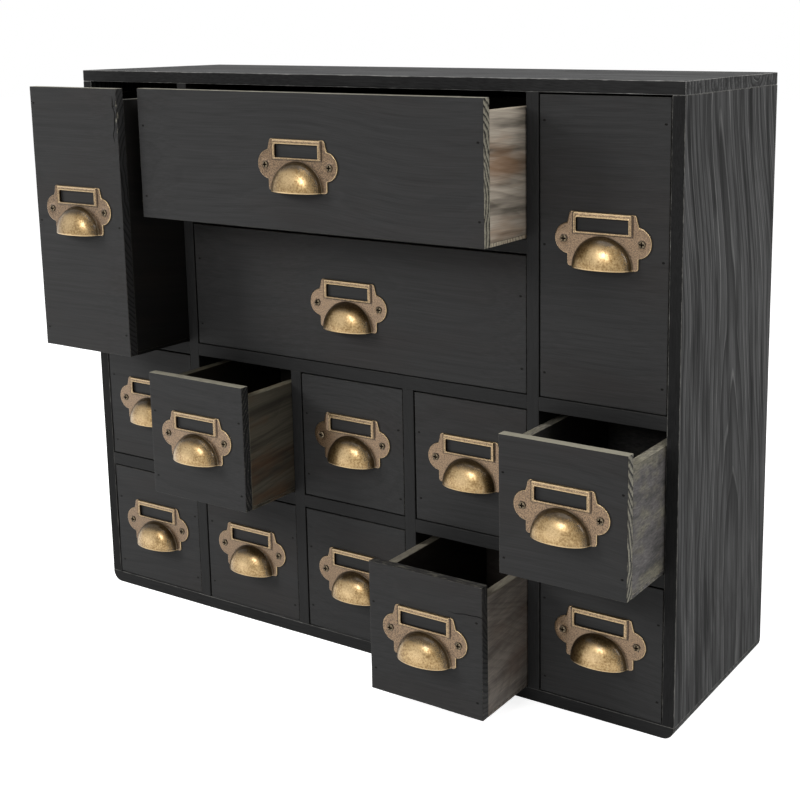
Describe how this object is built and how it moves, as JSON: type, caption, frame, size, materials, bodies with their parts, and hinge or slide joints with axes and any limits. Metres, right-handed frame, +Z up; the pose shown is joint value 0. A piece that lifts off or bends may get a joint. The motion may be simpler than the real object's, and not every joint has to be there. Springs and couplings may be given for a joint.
{
  "type": "seed storage cabinet",
  "caption": "Tabletop wooden seed cabinet: upright casing of tall, wide and small pull-out drawers, each with an antique-brass label cup pull.",
  "frame": {"origin": "middle of the casing's underside, on the surface it stands on", "axes": "+X to the right seen from the front, +Y to the back (drawers pull out along -Y), +Z up"},
  "size_m": [0.6, 0.2645, 0.4959],
  "materials": {
    "casing_black_wood": "black stained pine, satin",
    "front_black_wood": "black stained wood, satin",
    "drawer_box_wood": "thin grey-brown wash, matt",
    "antique_brass": "antiqued, dark patina with rubbed edges"
  },
  "bodies": {
    "casing": {"top_board": "casing_black_wood", "bottom_board": "casing_black_wood", "left_side": "casing_black_wood", "right_side": "casing_black_wood", "back_panel": "casing_black_wood", "left_partition": "casing_black_wood", "right_partition": "casing_black_wood", "left_shelf": "casing_black_wood", "centre_shelf": "casing_black_wood", "right_shelf": "casing_black_wood", "wide_divider": "casing_black_wood", "short_partition_1": "casing_black_wood", "short_partition_2": "casing_black_wood", "row_divider_1": "casing_black_wood", "row_divider_2": "casing_black_wood", "row_divider_3": "casing_black_wood", "row_divider_4": "casing_black_wood", "row_divider_5": "casing_black_wood"},
    "tall_left": {"tall_left_front": "front_black_wood", "tall_left_box": "drawer_box_wood", "tall_left_pull": "antique_brass"},
    "tall_right": {"tall_right_front": "front_black_wood", "tall_right_box": "drawer_box_wood", "tall_right_pull": "antique_brass"},
    "wide_upper": {"wide_upper_front": "front_black_wood", "wide_upper_box": "drawer_box_wood", "wide_upper_pull": "antique_brass"},
    "wide_lower": {"wide_lower_front": "front_black_wood", "wide_lower_box": "drawer_box_wood", "wide_lower_pull": "antique_brass"},
    "upper_1": {"upper_1_front": "front_black_wood", "upper_1_box": "drawer_box_wood", "upper_1_pull": "antique_brass"},
    "upper_2": {"upper_2_front": "front_black_wood", "upper_2_box": "drawer_box_wood", "upper_2_pull": "antique_brass"},
    "upper_3": {"upper_3_front": "front_black_wood", "upper_3_box": "drawer_box_wood", "upper_3_pull": "antique_brass"},
    "upper_4": {"upper_4_front": "front_black_wood", "upper_4_box": "drawer_box_wood", "upper_4_pull": "antique_brass"},
    "upper_5": {"upper_5_front": "front_black_wood", "upper_5_box": "drawer_box_wood", "upper_5_pull": "antique_brass"},
    "lower_1": {"lower_1_front": "front_black_wood", "lower_1_box": "drawer_box_wood", "lower_1_pull": "antique_brass"},
    "lower_2": {"lower_2_front": "front_black_wood", "lower_2_box": "drawer_box_wood", "lower_2_pull": "antique_brass"},
    "lower_3": {"lower_3_front": "front_black_wood", "lower_3_box": "drawer_box_wood", "lower_3_pull": "antique_brass"},
    "lower_4": {"lower_4_front": "front_black_wood", "lower_4_box": "drawer_box_wood", "lower_4_pull": "antique_brass"},
    "lower_5": {"lower_5_front": "front_black_wood", "lower_5_box": "drawer_box_wood", "lower_5_pull": "antique_brass"}
  },
  "joints": [
    {"name": "tall_left_slide", "type": "slide", "parent": "casing", "child": "tall_left", "axis": [0, -1, 0], "range_m": [-0.0707, 0.0543]},
    {"name": "tall_right_slide", "type": "slide", "parent": "casing", "child": "tall_right", "axis": [0, -1, 0], "range_m": [0, 0.125]},
    {"name": "wide_upper_slide", "type": "slide", "parent": "casing", "child": "wide_upper", "axis": [0, -1, 0], "range_m": [-0.0587, 0.0663]},
    {"name": "wide_lower_slide", "type": "slide", "parent": "casing", "child": "wide_lower", "axis": [0, -1, 0], "range_m": [0, 0.125]},
    {"name": "upper_1_slide", "type": "slide", "parent": "casing", "child": "upper_1", "axis": [0, -1, 0], "range_m": [0, 0.125]},
    {"name": "upper_2_slide", "type": "slide", "parent": "casing", "child": "upper_2", "axis": [0, -1, 0], "range_m": [-0.0627, 0.0623]},
    {"name": "upper_3_slide", "type": "slide", "parent": "casing", "child": "upper_3", "axis": [0, -1, 0], "range_m": [0, 0.125]},
    {"name": "upper_4_slide", "type": "slide", "parent": "casing", "child": "upper_4", "axis": [0, -1, 0], "range_m": [0, 0.125]},
    {"name": "upper_5_slide", "type": "slide", "parent": "casing", "child": "upper_5", "axis": [0, -1, 0], "range_m": [-0.0617, 0.0633]},
    {"name": "lower_1_slide", "type": "slide", "parent": "casing", "child": "lower_1", "axis": [0, -1, 0], "range_m": [0, 0.125]},
    {"name": "lower_2_slide", "type": "slide", "parent": "casing", "child": "lower_2", "axis": [0, -1, 0], "range_m": [0, 0.125]},
    {"name": "lower_3_slide", "type": "slide", "parent": "casing", "child": "lower_3", "axis": [0, -1, 0], "range_m": [0, 0.125]},
    {"name": "lower_4_slide", "type": "slide", "parent": "casing", "child": "lower_4", "axis": [0, -1, 0], "range_m": [-0.0667, 0.0583]},
    {"name": "lower_5_slide", "type": "slide", "parent": "casing", "child": "lower_5", "axis": [0, -1, 0], "range_m": [0, 0.125]}
  ]
}
